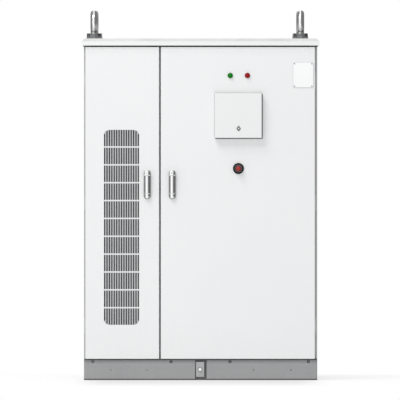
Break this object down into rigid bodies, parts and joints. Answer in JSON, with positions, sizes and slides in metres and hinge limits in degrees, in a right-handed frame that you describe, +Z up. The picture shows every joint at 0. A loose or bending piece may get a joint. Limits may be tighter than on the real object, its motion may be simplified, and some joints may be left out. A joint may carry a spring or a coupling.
{
  "type": "battery cabinet",
  "caption": "Outdoor battery cabinet on a plinth, with a grilled narrow door, a wide door, rod locks worked by swing handles, a covered screen and lifting eyes.",
  "frame": {"origin": "on the floor, at the centre of the plinth's four anchor holes", "axes": "+Z up, the doors face -Y, +X to the right as the doors are faced"},
  "size_m": [1.43, 1.3546, 2.22],
  "materials": {
    "white_coat": "satin powder coat",
    "inner_coat": "satin powder coat",
    "plinth_grey": "fine texture powder coat",
    "zinc": "zinc plated",
    "eye_steel": "turned and polished",
    "foot_steel": "dark phosphated",
    "handle_chrome": "polished",
    "button_chrome": "satin",
    "lock_black": "moulded",
    "lock_core": "satin",
    "cover_white": "moulded",
    "screen_black": "moulded",
    "lamp_green": "clear coloured lens",
    "lamp_red": "clear coloured lens",
    "stop_black": "moulded",
    "stop_red": "moulded",
    "seal_rubber": "matt",
    "gland_black": "moulded",
    "pack_case": "moulded composite",
    "box_grey": "powder coat",
    "switch_red": "moulded",
    "fan_black": "moulded",
    "coil_aluminium": "mill",
    "filter_mesh": "pleated mesh",
    "canister_red": "gloss"
  },
  "bodies": {
    "cabinet": {"plinth_frame": "plinth_grey", "plinth_left_cover": "plinth_grey", "plinth_right_cover": "plinth_grey", "plinth_centre_plate": "plinth_grey", "case_bolts": "zinc", "floor_pan": "inner_coat", "cable_glands": "gland_black", "corner_posts": "inner_coat", "centre_post": "inner_coat", "cross_rails": "inner_coat", "left_side_panel": "white_coat", "right_side_panel": "white_coat", "rear_panel": "white_coat", "bay_partition": "inner_coat", "roof_cap": "white_coat", "lifting_eyes": "eye_steel", "lifting_feet": "foot_steel", "battery_pack_1": "pack_case", "battery_pack_2": "pack_case", "battery_pack_3": "pack_case", "battery_pack_4": "pack_case", "battery_pack_5": "pack_case", "battery_rack": "zinc", "high_voltage_box": "box_grey", "cooling_unit_case": "box_grey", "cooling_coil": "coil_aluminium", "fire_canister": "canister_red", "hinge_frame_leaves": "zinc", "door_seals": "seal_rubber"},
    "main_switch": {"main_switch_lever": "switch_red"},
    "upper_fan": {"fan_upper": "fan_black"},
    "lower_fan": {"fan_lower": "fan_black"},
    "left_door": {"left_door_shell": "white_coat", "left_door_liner": "inner_coat", "air_filter": "filter_mesh", "left_hinge_leaves": "zinc", "left_handle_base": "handle_chrome"},
    "left_hub": {"left_handle_hub": "handle_chrome"},
    "left_lever": {"left_handle_lever": "handle_chrome"},
    "left_button": {"left_lock_button": "button_chrome"},
    "left_rod_up": {"left_upper_rod": "zinc"},
    "left_rod_down": {"left_lower_rod": "zinc"},
    "right_door": {"right_door_shell": "white_coat", "right_door_liner": "inner_coat", "right_hinge_leaves": "zinc", "right_handle_base": "handle_chrome", "screen_frame": "screen_black", "green_lamp": "lamp_green", "red_lamp": "lamp_red", "stop_collar": "stop_black"},
    "right_hub": {"right_handle_hub": "handle_chrome"},
    "right_lever": {"right_handle_lever": "handle_chrome"},
    "right_button": {"right_lock_button": "button_chrome"},
    "right_rod_up": {"right_upper_rod": "zinc"},
    "right_rod_down": {"right_lower_rod": "zinc"},
    "cover": {"screen_cover": "cover_white", "cover_lock_bezel": "lock_black"},
    "quarter_turn": {"cover_lock": "lock_core"},
    "stop_plunger": {"stop_stem": "stop_black"},
    "stop_knob": {"stop_head": "stop_red"}
  },
  "joints": [
    {"name": "left_door_swing", "type": "hinge", "parent": "cabinet", "child": "left_door", "pos_m": [-0.694, -0.611, 1.064], "axis": [0, 0, -1], "range_deg": [0, 110]},
    {"name": "right_door_swing", "type": "hinge", "parent": "cabinet", "child": "right_door", "pos_m": [0.688, -0.611, 1.064], "axis": [0, 0, 1], "range_deg": [0, 110]},
    {"name": "main_switch_turn", "type": "hinge", "parent": "cabinet", "child": "main_switch", "pos_m": [0.213, -0.5143, 1.61], "axis": [0, 1, 0], "range_deg": [0, 90]},
    {"name": "upper_fan_spin", "type": "hinge", "parent": "cabinet", "child": "upper_fan", "pos_m": [-0.457, -0.52, 1.18], "axis": [0, 1, 0], "continuous": true},
    {"name": "lower_fan_spin", "type": "hinge", "parent": "cabinet", "child": "lower_fan", "pos_m": [-0.457, -0.52, 0.62], "axis": [0, 1, 0], "continuous": true},
    {"name": "cover_swing", "type": "hinge", "parent": "right_door", "child": "cover", "pos_m": [0.225, -0.664, 1.716], "axis": [-1, 0, 0], "range_deg": [0, 100]},
    {"name": "cover_lock_turn", "type": "hinge", "parent": "cover", "child": "quarter_turn", "pos_m": [0.228, -0.689, 1.51], "axis": [0, 1, 0], "range_deg": [0, 90]},
    {"name": "stop_push", "type": "slide", "parent": "right_door", "child": "stop_plunger", "axis": [0, 1, 0], "range_m": [0, 0.005], "stiffness_N_per_m": 1500},
    {"name": "stop_twist", "type": "hinge", "parent": "stop_plunger", "child": "stop_knob", "pos_m": [0.227, -0.67, 1.27], "axis": [0, 1, 0], "range_deg": [0, 40], "stiffness_Nm_per_rad": 0.05},
    {"name": "left_handle_turn", "type": "hinge", "parent": "left_door", "child": "left_hub", "pos_m": [-0.32, -0.656, 1.108], "axis": [0, -1, 0], "range_deg": [0, 90]},
    {"name": "left_lever_tilt", "type": "hinge", "parent": "left_hub", "child": "left_lever", "pos_m": [-0.32, -0.664, 1.125], "axis": [1, 0, 0], "range_deg": [0, 40]},
    {"name": "left_button_push", "type": "slide", "parent": "left_door", "child": "left_button", "axis": [0, 1, 0], "range_m": [0, 0.003], "stiffness_N_per_m": 800},
    {"name": "left_upper_rod_slide", "type": "slide", "parent": "left_door", "child": "left_rod_up", "axis": [0, 0, -1], "range_m": [0, 0.02]},
    {"name": "left_lower_rod_slide", "type": "slide", "parent": "left_door", "child": "left_rod_down", "axis": [0, 0, 1], "range_m": [0, 0.02]},
    {"name": "right_handle_turn", "type": "hinge", "parent": "right_door", "child": "right_hub", "pos_m": [-0.17, -0.656, 1.108], "axis": [0, 1, 0], "range_deg": [0, 90]},
    {"name": "right_lever_tilt", "type": "hinge", "parent": "right_hub", "child": "right_lever", "pos_m": [-0.17, -0.664, 1.125], "axis": [1, 0, 0], "range_deg": [0, 40]},
    {"name": "right_button_push", "type": "slide", "parent": "right_door", "child": "right_button", "axis": [0, 1, 0], "range_m": [0, 0.003], "stiffness_N_per_m": 800},
    {"name": "right_upper_rod_slide", "type": "slide", "parent": "right_door", "child": "right_rod_up", "axis": [0, 0, -1], "range_m": [0, 0.02]},
    {"name": "right_lower_rod_slide", "type": "slide", "parent": "right_door", "child": "right_rod_down", "axis": [0, 0, 1], "range_m": [0, 0.02]}
  ],
  "couplings": [
    {"joint": "left_upper_rod_slide", "follows": "left_handle_turn", "m_per_rad": 0.012604},
    {"joint": "left_lower_rod_slide", "follows": "left_handle_turn", "m_per_rad": 0.012604},
    {"joint": "right_upper_rod_slide", "follows": "right_handle_turn", "m_per_rad": 0.012604},
    {"joint": "right_lower_rod_slide", "follows": "right_handle_turn", "m_per_rad": 0.012604}
  ]
}
